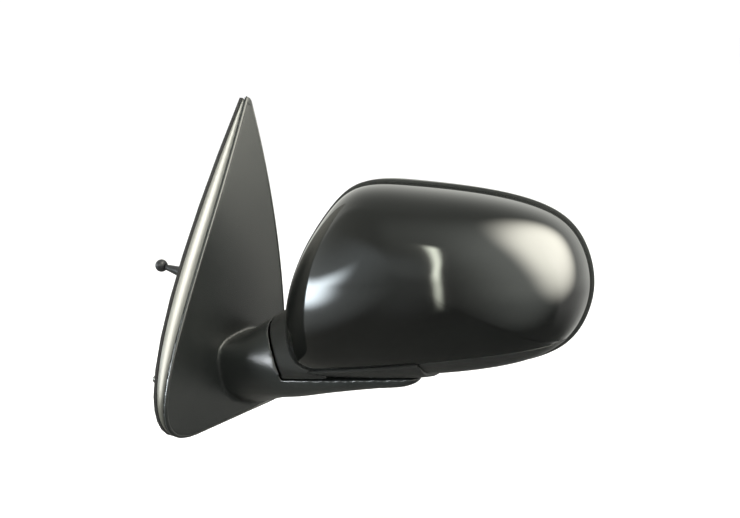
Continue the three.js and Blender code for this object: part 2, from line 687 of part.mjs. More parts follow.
function glassBacking() {
  const rear = GLASS_W - GLASS_THICK - GAP;
  const sheet = domedSheet(GLASS_INSET, rear, 2.6);
  const rimOuter = domedSheet(GLASS_INSET, GLASS_W + 0.4, 5.4);
  const rimInner = domedSheet(GLASS_INSET + 1.5, GLASS_W + 4, 12);
  const [u, w, v] = GLASS_PIVOT;
  const ears = [1, -1].map((side) => (
    box([side > 0 ? u + 8.6 : u - 13, w - 4, v - 4.5], [side > 0 ? u + 13 : u - 8.6, rear - 1.5, v + 4.5])
  ));
  const pinHole = moved(cylinder(2.3, -20, 20, 16), along([1, 0, 0], [u, w, v]));
  return fromHead(cut(union(sheet, cut(rimOuter, rimInner), ...ears), pinHole));
}

function mirrorGlass() {
  return fromHead(domedSheet(GLASS_INSET + 1.5 + GAP, GLASS_W, GLASS_THICK));
}

// ---- The adjusting stick ----
// Made along +Z with the pivot at the origin and the ball at the top, then turned towards the car.
const stickMatrix = new THREE.Matrix4()
  .makeTranslation(STICK_PIVOT)
  .multiply(new THREE.Matrix4().makeBasis(
    new THREE.Vector3(0, 1, 0),
    new THREE.Vector3(Math.sin(STICK_RISE), 0, Math.cos(STICK_RISE)),
    new THREE.Vector3(Math.cos(STICK_RISE), 0, -Math.sin(STICK_RISE)),
  ))
  .multiply(new THREE.Matrix4().makeRotationX(Math.PI));

function adjustingStick() {
  const ball = new THREE.SphereGeometry(STICK_BALL_RADIUS, 16, 10);
  ball.translate(0, 0, STICK_LENGTH - STICK_BALL_RADIUS);
  const shaft = turned([[5, -7], [5, 6], [4.4, 10], [2.1, STICK_LENGTH - 9], [2.1, STICK_LENGTH - 6]], 16);
  const spider = cylinder(10, -9, -5.6, 20);
  const wireHole = cylinder(WIRE_RADIUS + 0.4, -10, -4, 8);
  const wireHoles = CABLE_ANGLES.map((a) => moved(wireHole, ringPlace(STICK_RING, a)));
  const pins = moved(cylinder(1.5, -9.4, 9.4, 12), along([1, 0, 0], [0, 0, 0]));
  return moved(cut(union(toSolid(ball), shaft, spider, pins), ...wireHoles), stickMatrix);
}

function stickRing() {
  const ring = tube(7.4, 10.4, -3, 3, 24);
  const holes = moved(cylinder(1.8, -20, 20, 12), along([1, 0, 0], [0, 0, 0]));
  const pins = [9.8, -14].map((low) => moved(cylinder(1.5, low, low + 4.2, 12), along([0, 1, 0], [0, 0, 0])));
  return moved(union(cut(ring, holes), ...pins), stickMatrix);
}

// The socket: a ring for the gimbal on three posts, a floor that stops the sheaths, and two screwed tabs.
const SOCKET_FLOOR = [-20.5, -17.5];

function stickSocket() {
  const ring = tube(12.4, 16.6, -7, 4, 28);
  const holes = moved(cylinder(1.8, -20, 20, 12), along([0, 1, 0], [0, 0, 0]));
  const floor = cylinder(16.6, ...SOCKET_FLOOR, 28);
  const posts = [30, 150, 270].map((a) => sector(13.2, 16.6, -18, -6.5, (a - 14) * DEG, (a + 14) * DEG));
  const sheathHoles = CABLE_ANGLES.map((a) => (
    moved(cylinder(CABLE_RADIUS + 1.2, -25, -10, 10), ringPlace(STICK_RING, a))
  ));
  const cage = moved(cut(union(cut(ring, holes), floor, ...posts), ...sheathHoles), stickMatrix);
  const [y, z] = SOCKET_CENTRE;
  const facing = along([1, 0, 0], [0, y, z]);
  const flange = cut(
    box([4 + GAP, y - 3.8, z - 24.4], [7, y + 3.8, z + 24.4]).add(moved(cylinder(17.9, 0.5, 7, 28), facing)),
    moved(cylinder(14.5, 0, 10, 28), facing),
  );
  const tabHole = cylinder(1.8, 0, 10, 12);
  const tabHoles = TAB_PLACES.map((place) => moved(tabHole, along([1, 0, 0], [0, ...place])));
  return cut(union(cage, flange), ...tabHoles);
}

function tabScrew(place) {
  return moved(screw(2.5, 1.8, 1.3, 7), along([1, 0, 0], [7 + GAP, ...place]));
}

// ---- The three control cables ----
function ringPlace(radius, angle) {
  return at(radius * Math.cos(angle), radius * Math.sin(angle), 0);
}

// A point in the fold frame: u, w and v are along the head's own directions.
function headPoint(u, w, v) {
  return new THREE.Vector3(u, w, v).applyMatrix4(pivotMatrix).toArray();
}

function postPlace(angle, height) {
  return headPoint(-POST_RING * Math.sin(angle), POST_RING * Math.cos(angle), height);
}

// From the socket's floor down inside the sail, along the arm beside the beam and up into the post.
function footCable(angle) {
  const onRing = (z) => new THREE.Vector3(0, 0, z)
    .applyMatrix4(ringPlace(STICK_RING, angle)).applyMatrix4(stickMatrix);
  const [start, end] = [onRing(SOCKET_FLOOR[1]), onRing(SOCKET_FLOOR[0] - 0.5)];
  const side = 3.6 * Math.cos(angle);
  const rise = 1.2 * Math.sin(angle);
  const y = STICK_PIVOT.y + side;
  return rod([
    start.toArray(), end.toArray(), [10.6, (end.y + y) / 2, end.z - 6], [10.8, y, end.z - 18], [10.8, y, -6],
    [14.5, y + 2, -22], [26, y + 6, -32 + rise], [50, y + 9, -37.4 + rise], [72, y + 13, -36.8 + rise],
    [86, 11.5 + side * 0.9, -36 + rise], [94.5, 16.6 + side * 0.7, -35.3 + rise * 1.5],
    postPlace(angle, -4), postPlace(angle, 6), postPlace(angle, CABLE_BREAK),
  ], CABLE_RADIUS, 30, 5);
}

// Out of the post's top, across the front of the frame and back through its round window to the glass mount.
function headCable(angle) {
  const [u, , v] = GLASS_PIVOT;
  const [du, dv] = [-GLASS_RING * Math.cos(angle), GLASS_RING * Math.sin(angle)];
  return rod([
    ...[CABLE_BREAK + GAP, 52, 69].map((height) => postPlace(angle, height)),
    headPoint(9 + du / 6, -5 - du / 5, 81 + dv / 3),
    headPoint(38, -15 - du / 4, 84 + dv / 3),
    headPoint(u - 34 + du / 2, -18 - du / 5, v + 4 + dv / 2),
    headPoint(u - 7 + du, -12, v + dv),
    headPoint(u + du, -2, v + dv),
    headPoint(u + du, TUB_FLOOR_W + GAP + 3, v + dv),
  ], CABLE_RADIUS, 24, 5);
}

// The bare wire between a sheath's end and the plate it pulls.
function stickWire(angle) {
  const place = stickMatrix.clone().multiply(ringPlace(STICK_RING, angle));
  return moved(cylinder(WIRE_RADIUS, -14.5, -5.2, 8), place);
}

function glassWire(angle) {
  const [low, high] = [11.2, GLASS_W - GLASS_THICK - 4.4];
  const place = mountMatrix(low).multiply(ringPlace(GLASS_RING, angle));
  return fromHead(moved(cylinder(WIRE_RADIUS, 0, high - low, 8), place));
}

function mesh(name, solid, material) {
  const made = new THREE.Mesh(toGeometry(solid), material);
  made.name = name;
  return made;
}

// ---- Assembly ----
const sideMirror = new THREE.Group();
sideMirror.name = "side_mirror";

function addTo(group, pieces) {
  for (const [name, solid, material] of pieces) group.add(mesh(name, solid, material));
}

addTo(sideMirror, [
  ["base_cover", baseCover(), GRAINED_BLACK],
  ["sail_frame", sailFrame(), SATIN_BLACK],
  ["door_gasket", doorGasket(), FOAM],
  ["base_bracket", baseBracket(), ZINC],
  ...Object.entries(STUDS).map(([name, place]) => ["stud_" + name, stud(place), STEEL]),
  ["pivot_post", pivotPost(), STEEL],
  ["stop_ring", stopRing(), STEEL],
  ["fold_spring", foldSpring(), STEEL],
  ["spring_washer", springWasher(), STEEL],
  ["retaining_ring", retainingRing(), STEEL],
  ["stick_socket", stickSocket(), NYLON_BLACK],
  ...TAB_PLACES.map((place, i) => ["socket_screw_" + (i + 1), tabScrew(place), STEEL]),
  ...CABLE_ANGLES.map((angle, i) => ["foot_cable_" + (i + 1), footCable(angle), RUBBER]),
  ["stick_ring", stickRing(), NYLON_BLACK],
  ...CABLE_ANGLES.map((angle, i) => ["stick_wire_" + (i + 1), stickWire(angle), STEEL]),
  ["adjusting_stick", adjustingStick(), NYLON_BLACK],
  ["slot_ring", slotRing(), STEEL],
  ["front_cap", frontCap(), GLOSS_BLACK],
  ["lower_trim", lowerTrim(), GRAINED_BLACK],
  ["mirror_housing", mirrorHousing(), GRAINED_BLACK],
  ["head_frame", headFrame(), ZINC],
  ...FRAME_SCREWS.map((place, i) => ["frame_screw_" + (i + 1), frameScrew(place), STEEL]),
  ["glass_mount", glassMount(), NYLON_BLACK],
  ...MOUNT_SCREWS.map((angle, i) => ["mount_screw_" + (i + 1), mountScrew(angle), STEEL]),
  ...CABLE_ANGLES.map((angle, i) => ["head_cable_" + (i + 1), headCable(angle), RUBBER]),
  ["glass_cross", glassCross(), NYLON_BLACK],
  ...CABLE_ANGLES.map((angle, i) => ["glass_wire_" + (i + 1), glassWire(angle), STEEL]),
  ["glass_backing", glassBacking(), NYLON_BLACK],
  ["mirror_glass", mirrorGlass(), MIRROR],
]);

export default sideMirror;
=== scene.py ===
import math

import bmesh
import bpy
from mathutils import Matrix, Vector


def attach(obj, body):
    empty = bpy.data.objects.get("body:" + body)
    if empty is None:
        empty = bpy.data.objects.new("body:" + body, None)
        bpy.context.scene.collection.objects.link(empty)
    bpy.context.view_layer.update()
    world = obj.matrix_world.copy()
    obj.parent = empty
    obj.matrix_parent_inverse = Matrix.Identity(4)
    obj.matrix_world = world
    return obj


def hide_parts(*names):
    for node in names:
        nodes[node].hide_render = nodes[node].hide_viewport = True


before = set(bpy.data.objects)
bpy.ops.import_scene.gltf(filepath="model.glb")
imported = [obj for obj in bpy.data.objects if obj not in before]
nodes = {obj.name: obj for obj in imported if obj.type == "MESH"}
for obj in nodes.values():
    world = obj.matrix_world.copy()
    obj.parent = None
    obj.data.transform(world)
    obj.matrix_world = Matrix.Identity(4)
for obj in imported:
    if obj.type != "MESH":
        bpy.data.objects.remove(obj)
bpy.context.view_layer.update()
MM = 0.001

# ---- Camera ----
# A long portrait lens looks at the head from in front of the car and a little outside and above,
# so that the sail turns its edge to the lens and the head shows its whole cap.
azimuth, elevation = math.radians(30), math.radians(8)
towards_lens = Vector((
    math.sin(azimuth) * math.cos(elevation), -math.cos(azimuth) * math.cos(elevation), math.sin(elevation),
))
lens_data = bpy.data.cameras.new("camera")
lens_data.lens = 81.08
lens_data.sensor_width = 36
lens_data.clip_start = 0.05
camera = bpy.data.objects.new("camera", lens_data)
camera.location = (0.74451, -1.04777, 0.23582)
camera.rotation_mode = "QUATERNION"
camera.rotation_quaternion = (-towards_lens).to_track_quat("-Z", "Y")
bpy.context.scene.collection.objects.link(camera)
bpy.context.scene.camera = camera

# ---- Studio ----
# A pale table top in an even pale room, with soft boxes at the left, the right and overhead. A light tent
# that only shows in reflections is dim in front, with a low strip, a tall strip and a broad lamp, and pale behind.


class Wire:
    """A socket on its way through a material, so that sums and products can be written as such."""

    def __init__(self, finish, socket):
        self.finish, self.socket = finish, socket

    def _math(self, kind, a, b):
        return self.finish.node("Math", {"operation": kind}, {0: a, 1: b})

    def __add__(self, other):
        return self._math("ADD", self, other)

    def __sub__(self, other):
        return self._math("SUBTRACT", self, other)

    def __rsub__(self, other):
        return self._math("SUBTRACT", other, self)

    def __mul__(self, other):
        return self._math("MULTIPLY", self, other)

    __radd__ = __add__
    __rmul__ = __mul__


class Finish:
    """A material built node by node."""

    def __init__(self, name):
        self.material = bpy.data.materials.new(name)
        self.material.use_nodes = True
        self.tree = self.material.node_tree
        self.tree.nodes.clear()

    def node(self, kind, settings, inputs, out=0):
        made = self.tree.nodes.new("ShaderNode" + kind)
        for key, value in settings.items():
            if key == "stops":
                for stop, (place, level) in zip(made.color_ramp.elements, value):
                    stop.position, stop.color = place, (level, level, level, 1)
            else:
                setattr(made, key, value)
        for key, value in inputs.items():
            if isinstance(value, Wire):
                self.tree.links.new(value.socket, made.inputs[key])
            else:
                made.inputs[key].default_value = value
        return Wire(self, made.outputs[out]) if made.outputs else None

    def place(self):
        return self.node("TexCoord", {}, {}, "Object")

    def noise(self, scale, detail=2.0, rough=0.5):
        return self.node("TexNoise", {}, {"Vector": self.place(), "Scale": scale, "Detail": detail, "Roughness": rough})

    def ramp(self, fac, low, high):
        return self.node("ValToRGB", {"stops": [(low, 0), (high, 1)]}, {"Fac": fac})

    def colour(self, fac, a, b):
        return self.node("Mix", {"data_type": "RGBA"}, {0: fac, 6: (*a, 1), 7: (*b, 1)}, 2)

    def bump(self, height, depth, over=None):
        sockets = {"Height": height, "Distance": depth, "Strength": 1.0}
        if over is not None:
            sockets["Normal"] = over
        return self.node("Bump", {}, sockets)

    def done(self, kind="BsdfPrincipled", **sockets):
        shader = self.node(kind, {}, {key.replace("_", " "): value for key, value in sockets.items()})
        self.node("OutputMaterial", {}, {"Surface": shader})
        return self.material


TABLE_HALF, TABLE_DROP = 60, 0.14
table_top = bmesh.new()
bmesh.ops.create_grid(table_top, x_segments=1, y_segments=1, size=TABLE_HALF)
bmesh.ops.translate(table_top, verts=table_top.verts, vec=(0, 0, -TABLE_DROP))


def as_object(name, bm, *materials):
    mesh = bpy.data.meshes.new(name)
    bm.to_mesh(mesh)
    bm.free()
    made = bpy.data.objects.new(name, mesh)
    bpy.context.scene.collection.objects.link(made)
    for material in materials:
        mesh.materials.append(material)
    return made


pale = Finish("pale_table")
pale_shade = pale.colour(pale.noise(3.0), (0.94, 0.94, 0.94), (0.95, 0.95, 0.95))
floor = as_object("floor", table_top, pale.done(Base_Color=pale_shade, Roughness=0.9))
floor.visible_glossy = False

TENT_RADIUS = 4
tent_skin = bmesh.new()
bmesh.ops.create_icosphere(tent_skin, subdivisions=5, radius=TENT_RADIUS)
tent = Finish("light_tent")
facing_out = tent.node("VectorMath", {"operation": "NORMALIZE"}, {0: tent.place()})


def heading(turn, rise):
    """A direction from the mirror: turn counts from the car's front towards its left side, in degrees."""
    turn, rise = math.radians(turn), math.radians(rise)
    return (math.sin(turn) * math.cos(rise), -math.cos(turn) * math.cos(rise), math.sin(rise))


def towards(direction):
    """The cosine between a spot of the tent and a direction."""
    return tent.node("VectorMath", {"operation": "DOT_PRODUCT"}, {0: facing_out, 1: direction}, 1)


def span(value, low, high):
    """Rises smoothly from 0 to 1 between two levels, or falls when the first is higher."""
    return tent.node("MapRange", {"interpolation_type": "SMOOTHSTEP"}, {0: value, 1: low, 2: high})


def ribbon(off, half):
    """1 where a value is 0, falling to 0 at half a width from it."""
    return span(tent.node("Math", {"operation": "ABSOLUTE"}, {0: off}), half, 0.0)


def glow(amount, tint):
    return tent.node("VectorMath", {"operation": "SCALE"}, {0: tint, 3: amount})


height = towards((0, 0, 1))
behind = span(towards(heading(180, 12)), 0.0, 0.22) * span(height, 1.1, 0.3) * span(height, -0.6, -0.2)
front = span(height, -0.2, -0.02)
right_lamp = span(towards(heading(98, 36)), 0.6, 1.0)
right_spill = span(towards(heading(62, 30)), 0.4, 1.0)
low_strip = ribbon(height - 0.05, 0.08) * span(towards(heading(-72, 2)), 0.68, 1.0)
low_spill = ribbon(height - 0.08, 0.34) * span(towards(heading(-50, 2)), 0.5, 1.0)
bent_line = ribbon(towards(heading(91.5, 0)) + height * height * 0.14, 0.042) * span(towards((0, -1, 0)), 0.0, 0.3)
tall_strip = bent_line * span(height, -0.2, 0.0) * span(height, 0.55, 0.45)
lights = [
    glow(behind * 0.5 + 0.05, (1.0, 1.0, 0.95)), glow(front * 0.26, (0.97, 1.0, 0.9)),
    glow(right_lamp * 11.0, (1.0, 0.97, 0.84)), glow(right_spill * 1.2, (0.95, 1.0, 0.93)),
    glow(low_strip * 14.0, (0.84, 0.94, 1.0)), glow(low_spill * 0.6, (0.84, 0.94, 1.0)),
    glow(tall_strip * 12.0, (0.96, 1.0, 0.84)),
]
painted = lights[0]
for light in lights[1:]:
    painted = tent.node("VectorMath", {"operation": "ADD"}, {0: painted, 1: light})
light_tent = as_object(
    "light_tent", tent_skin, tent.done(Base_Color=(0, 0, 0, 1), Emission_Color=painted, Emission_Strength=1.0),
)
for ray in ("camera", "diffuse", "transmission", "volume_scatter", "shadow"):
    setattr(light_tent, "visible_" + ray, False)

room = bpy.data.worlds.new("room")
room.use_nodes = True
room.node_tree.nodes["Background"].inputs["Color"].default_value = (1, 1, 1, 1)
room.node_tree.nodes["Background"].inputs["Strength"].default_value = 1.08
bpy.context.scene.world = room
bpy.context.scene.view_settings.view_transform = "Standard"


def soft_box(name, where, aim, size, power, tint=(1, 1, 1)):
    data = bpy.data.lights.new(name, "AREA")
    data.shape = "RECTANGLE"
    data.size, data.size_y = size
    data.energy = power
    data.color = tint
    made = bpy.data.objects.new(name, data)
    made.location = where
    made.visible_glossy = False
    made.rotation_mode = "QUATERNION"
    made.rotation_quaternion = (Vector(aim) - Vector(where)).to_track_quat("-Z", "Y")
    bpy.context.scene.collection.objects.link(made)
    return made


soft_box("left_box", (-1.1, -0.5, 0.5), (0.0, 0.0, 0.05), (0.7, 1.0), 14, (1.0, 0.97, 0.9))
soft_box("right_box", (1.6, -0.5, 0.55), (0.2, 0, 0.05), (0.5, 0.8), 12, (1.0, 0.98, 0.93))
soft_box("top_box", (0.2, -0.1, 1.5), (0.15, 0, 0), (1.2, 0.9), 18)

# ---- Sail, arm and fairing ----
# One injection moulding in grained black plastic: a shallow barrel-shaped sail that closes the window's
# corner, a hollow arm that grows out of it, a round socket for the turning neck and a fairing under the head.
FACE_RADIUS, FACE_CREST, FACE_WALL = 720, (18.2, 54), 2.6
WALL = 2.8
PIVOT = Vector((100, 20, -26.8))
fold_frame = (
    Matrix.Translation(PIVOT) @ Matrix.Rotation(math.radians(-5), 4, "Y") @ Matrix.Rotation(math.radians(10), 4, "Z")
)
SOCKET = [(46, 0), (49, 12), (50.5, 28), (50, 40), (46.5, 52), (44, 80)]
RING_SEAT = 20.6  # radius of the pocket for the stop rings
ARM_STATIONS = [2, 22, 45, 70, 100, 140, 165, 178]
ARM_SECTIONS = [
    [(-18, -21), (-17, -7), (-2, -5), (30, -4), (58, -12), (64, -42), (54, -68), (22, -61), (-4, -50)],
    [(-18, -21), (-17, -8), (-4, -3), (28, 2), (58, -8), (64, -40), (53, -65), (22, -59), (-6, -48)],
    [(-19, -22), (-18, -9), (-8, 4), (16, 16), (46, 10), (60, -28), (50, -56), (20, -54), (-8, -45)],
    [(-19, -26), (-18, -11), (-11, 8), (2, 26), (38, 26), (58, -18), (48, -48), (18, -50), (-8, -42.5)],
    [(-16, -28), (-16, -14), (-11, 8), (4, 26), (36, 26), (54, -16), (46, -40), (18, -43), (-8, -37.5)],
    [(-9, -24), (-9, -16), (-6, -8), (4, -6), (22, -6), (38, -14), (36, -29), (16, -34.5), (-4, -31)],
    [(-4, -23), (-4, -17), (-2, -12), (4, -10), (16, -10), (25, -15), (24, -24), (13, -29), (0, -28)],
    [(-1, -20.5), (-1, -17), (1, -14), (4, -13), (11, -13), (16, -16), (15, -21), (9, -23.5), (1, -23)],
]
ARM_TIP = 5  # length over which its end rounds off


def spline(control, t):
    """A point on the closed smooth curve of a control polygon. t runs from 0 to 1 round it."""
    n = len(control)
    i, f = divmod((t % 1.0) * n, 1.0)
    weights = ((1 - f) ** 3, 3 * f**3 - 6 * f**2 + 4, -3 * f**3 + 3 * f**2 + 3 * f + 1, f**3)
    points = [control[(int(i) + k + n - 1) % n] for k in range(4)]
    return Vector([sum(w * p[axis] for w, p in zip(weights, points)) / 6 for axis in (0, 1)])


def inward(curve, t, distance, turn=1):
    """The curve's point moved inwards by distance. turn is 1 for a curve that runs anticlockwise."""
    along = curve(t + 0.002) - curve(t - 0.002)
    return curve(t) + Vector((-along.y, along.x)).normalized() * distance * turn


WELD = 1e-4  # corners closer than this are one


def wrapped(across, down, place):
    """A grid of across by down faces, welded into a tube, whose corners a function puts in place."""
    bm = bmesh.new()
    bmesh.ops.create_grid(bm, x_segments=across, y_segments=down, size=0.5)
    for corner in bm.verts:
        corner.co = place(corner.co.x + 0.5, corner.co.y + 0.5)
    bmesh.ops.remove_doubles(bm, verts=bm.verts, dist=WELD)
    return bm


def skin(across, down, place):
    """A wrapped grid with its two ends shut."""
    bm = wrapped(across, down, place)
    bmesh.ops.holes_fill(bm, edges=[edge for edge in bm.edges if edge.is_boundary])
    bmesh.ops.recalc_face_normals(bm, faces=bm.faces)
    return bm


def along(values, x):
    """Smooth interpolation through (place, value) pairs, where a value is a number or a Vector."""
    places = [p for p, _ in values]
    x = min(max(x, places[0]), places[-1])
    i = max(k for k in range(len(places) - 1) if places[k] <= x)
    (x0, a), (x1, b) = values[i], values[i + 1]
    before = values[max(i - 1, 0)]
    after = values[min(i + 2, len(values) - 1)]
    slope_a = (b - before[1]) / (x1 - before[0])
    slope_b = (after[1] - a) / (after[0] - x0)
    h, t = x1 - x0, (x - x0) / (x1 - x0)
    return (
        a * (2 * t**3 - 3 * t**2 + 1) + slope_a * (h * (t**3 - 2 * t**2 + t))
        + b * (3 * t**2 - 2 * t**3) + slope_b * (h * (t**3 - t**2))
    )


def barrel(z, depth=0.0):
    """How far out the sail's face is at a height."""
    return FACE_CREST[0] - FACE_RADIUS + math.sqrt((FACE_RADIUS - depth) ** 2 - (z - FACE_CREST[1]) ** 2)


def arm_skin(distance, first, last, root=None):
    """The arm's outside, or its inside at a distance, from one station to another."""
    tracks = [
        [(x, Vector(section[k])) for x, section in zip(ARM_STATIONS, ARM_SECTIONS)]
        for k in range(len(ARM_SECTIONS[0]))
    ]
    def place(t, along_arm):
        x = first + (last - first) * along_arm
        control = [along(track, x) for track in tracks]
        y, z = inward(lambda s: spline(control, s), t, distance, -1)
        if x > last - ARM_TIP and last == ARM_STATIONS[-1]:
            middle = sum(control, Vector((0, 0))) / len(control)
            shrink = math.sqrt(max(0.0, 1 - ((x - last + ARM_TIP) / ARM_TIP) ** 2))
            y, z = middle.lerp(Vector((y, z)), 0.25 + 0.75 * shrink)
        if along_arm == 0 and root is not None:
            x = barrel(z, root) if root < 20 else -6
        return Vector((x, y, z))

    return skin(96, 110, place)


SAIL_TIP, SAIL_TIP_REAR, SAIL_REAR_LOW = (37.5, 180.5), (42.5, 178.5), (85, -52)
SAIL_BOTTOM_REAR, SAIL_BOTTOM_FRONT = (70, -69), (-32, -75.2)
SAIL_CORNER, SAIL_FRONT_LOW, SAIL_FRONT_PULL = (-80.5, -78.5), (-80.5, -38), (-79, 26)


def bent(a, b, c, t):
    """A point on the curve from a to c that is pulled towards b."""
    return Vector(a).lerp(Vector(b), t).lerp(Vector(b).lerp(Vector(c), t), t)


sail_points = [SAIL_TIP, SAIL_TIP_REAR]
sail_points += [Vector(SAIL_TIP_REAR).lerp(Vector(SAIL_REAR_LOW), k / 40) for k in range(1, 41)]
sail_points += [bent(SAIL_REAR_LOW, (87, -68), SAIL_BOTTOM_REAR, k / 10) for k in range(1, 11)]
sail_points += [Vector(SAIL_BOTTOM_REAR).lerp(Vector(SAIL_BOTTOM_FRONT), k / 20) for k in range(1, 21)]
sail_points += [bent(SAIL_BOTTOM_FRONT, SAIL_CORNER, SAIL_FRONT_LOW, k / 24) for k in range(1, 25)]
sail_points += [bent(SAIL_FRONT_LOW, SAIL_FRONT_PULL, SAIL_TIP, k / 48) for k in range(1, 48)]
sail_points = [Vector(p) for p in sail_points]
SAIL_INCENTRE, SAIL_INRADIUS = Vector((8, -13)), 61


def sail_edge(t):
    """A point on the sail's outline, spaced by its list of points."""
    i, f = divmod((t % 1.0) * len(sail_points), 1.0)
    return sail_points[int(i)].lerp(sail_points[(int(i) + 1) % len(sail_points)], f)


def sail_inset(t, distance):
    return SAIL_INCENTRE + (sail_edge(t) - SAIL_INCENTRE) * (1 - distance / SAIL_INRADIUS)


def plate_place(t, j):
    """Out from the middle over the outer face, round the edge and back in over the inner face."""
    outer = j < 0.5
    reach = min(1.0, 2.04 * (j if outer else 1 - j))
    y, z = SAIL_INCENTRE.lerp(sail_edge(t), max(reach, 0.004))
    return Vector((barrel(z, 0 if outer else FACE_WALL), y, z))


def drawn(bm, profile):
    """The corners and edges of a profile of (radius, height)."""
    corners = [bm.verts.new((radius, 0, height)) for radius, height in profile]
    return corners + [bm.edges.new(pair) for pair in zip(corners, corners[1:])]


def turned(profile, segments=128):
    """A profile turned about the vertical."""
    bm = bmesh.new()
    bmesh.ops.spin(
        bm, geom=drawn(bm, profile), axis=(0, 0, 1), cent=(0, 0, 0), angle=2 * math.pi, steps=segments,
        use_merge=True,
    )
    bmesh.ops.remove_doubles(bm, verts=bm.verts, dist=WELD)
    bmesh.ops.recalc_face_normals(bm, faces=bm.faces)
    return bm


def block(low, high):
    bm = bmesh.new()
    bmesh.ops.create_cube(bm, size=1)
    low, high = Vector(low), Vector(high)
    bmesh.ops.scale(bm, verts=bm.verts, vec=high - low)
    bmesh.ops.translate(bm, verts=bm.verts, vec=(low + high) / 2)
    return bm


def put(bm, matrix):
    bmesh.ops.transform(bm, matrix=matrix, verts=bm.verts)
    return bm


def carved(bm, *steps):
    """Joins or cuts closed shapes, one after another. Each step is (how, shape)."""
    body = as_object("carving", bm)
    tools = []
    for how, tool in steps:
        tools.append(as_object("tool", tool))
        step = body.modifiers.new(how, "BOOLEAN")
        step.operation, step.solver, step.object = how, "MANIFOLD", tools[-1]
    made = bmesh.new()
    made.from_object(body, bpy.context.evaluated_depsgraph_get())
    for old in [body, *tools]:
        bpy.data.objects.remove(old)
    return made


def socket_profile(grow, low):
    radii = [(place, radius) for radius, place in SOCKET]
    heights = [low] + [2 * k for k in range(1, 40)]
    return [(0, low)] + [(along(radii, max(v, 0.0)) + grow, v) for v in heights] + [(0, heights[-1])]


def head_space(grow):
    """The two shapes that make the turning head's room: round inside the socket, and a slab over the deck."""
    return [
        put(turned(socket_profile(grow, -grow)), fold_frame),
        put(block((0, -90, -grow), (140, 90, 80)), fold_frame),
    ]


hollow = carved(arm_skin(WALL, 2, 160, 100), *[("DIFFERENCE", tool) for tool in head_space(WALL)])
foot = carved(
    skin(240, 60, plate_place),
    ("UNION", arm_skin(0, 2, 178, 1.3)),
    ("DIFFERENCE", hollow),
    *[("DIFFERENCE", tool) for tool in head_space(0)],
    ("DIFFERENCE", put(turned([(0, -4.3), (RING_SEAT, -4.3), (RING_SEAT, 4), (0, 4)], 64), fold_frame)),
)


def softened(bm, grain, rounds):
    """Rebuilds a carved shape as an even skin and relaxes it, which rounds its edges as a mould does."""
    body = as_object("softening", bm)
    remesh = body.modifiers.new("even", "REMESH")
    remesh.mode, remesh.voxel_size = "VOXEL", grain
    relax = body.modifiers.new("relax", "SMOOTH")
    relax.factor, relax.iterations = 0.5, rounds
    made = bmesh.new()
    made.from_object(body, bpy.context.evaluated_depsgraph_get())
    bpy.data.objects.remove(body)
    return made


def shown(name, bm, material, body, slot_name, *replaced):
    """A finished piece: in metres, smooth, riding on its body and standing for its CAD solids."""
    bmesh.ops.scale(bm, verts=bm.verts, vec=(MM, MM, MM))
    for face in bm.faces:
        face.smooth = True
    made = as_object(name, bm, material)
    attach(made, body)
    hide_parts(*replaced)
    return made


def grained_plastic(name, dark, light, rough, grain_depth):
    """Black moulded plastic with a fine leather-like grain and slightly uneven gloss."""
    finish = Finish(name)
    broad = finish.ramp(finish.noise(14.0, 3.0), 0.3, 0.7)
    cells = finish.node("TexVoronoi", {}, {"Vector": finish.place(), "Scale": 1500.0, "Randomness": 1.0})
    fine = finish.noise(2600.0, 2.0)
    relief = finish.bump(cells * 0.7 + fine * 0.5, grain_depth)
    return finish.done(
        Base_Color=finish.colour(broad, dark, light), Roughness=broad * 0.06 + (rough - 0.03), Normal=relief,
        IOR=1.5,
    )


foot_plastic = grained_plastic("foot_plastic", (0.007, 0.0085, 0.008), (0.011, 0.0125, 0.0115), 0.33, 0.0001)


def hoop(outline, profile, columns):
    """A closed bar bent round an outline. The profile gives, for each corner of the bar, its inset and place."""
    rows = len(profile)

    def place(t, j):
        return outline(t, *profile[round(j * rows) % rows])

    return skin(columns, rows, place)


def together(*parts):
    """Loose parts of one piece, gathered into one mesh."""
    made = parts[0]
    for part in parts[1:]:
        loose = bpy.data.meshes.new("loose")
        part.to_mesh(loose)
        part.free()
        made.from_mesh(loose)
        bpy.data.meshes.remove(loose)
    return made


LIP_RADIUS = 1.15
lip_profile = [
    (1.1 + LIP_RADIUS * math.cos(k * math.pi / 6), -0.75 + LIP_RADIUS * math.sin(k * math.pi / 6)) for k in range(12)
]


def on_face(t, distance, lift):
    y, z = sail_inset(t, distance)
    return Vector((barrel(z) + lift, y, z))


sail_and_arm = shown(
    "sail_and_arm", together(softened(foot, 1.15, 3), hoop(on_face, lip_profile, 360)), foot_plastic,
    "foot", "grained_black", "base_cover",
)


def light_only(piece, *lamps):
    """Soft boxes that are flagged off from all but one piece, and that its own sheen shows."""
    flagged = bpy.data.collections.new(piece.name + "_light")
    flagged.objects.link(piece)
    for lamp in lamps:
        lamp.visible_glossy = True
        lamp.light_linking.receiver_collection = flagged


light_only(
    sail_and_arm, soft_box("arm_strip", (-0.9, -1.2, 0.02), (0.05, -0.02, -0.03), (0.8, 0.06), 60, (0.92, 0.96, 1.0)),
)

# ---- Skirt and gasket ----
# The skirt is a satin black frame that stands the sail off the door, clipped in behind the face.
# Under it a ring of black foam seals against the paint.
SKIRT = (0.7, 3.7)  # insets of its outer and inner walls
SKIRT_LOW, SKIRT_GAP, SKIRT_ROUND = 2.75, 0.35, 0.4


def on_skirt(t, distance, height):
    """height is 0 at the door and 1 under the face, with its last part counted in millimetres."""
    y, z = sail_inset(t, distance)
    top = barrel(z, FACE_WALL) - SKIRT_GAP
    return Vector((SKIRT_LOW + height if height < 10 else top + height - 20, y, z))


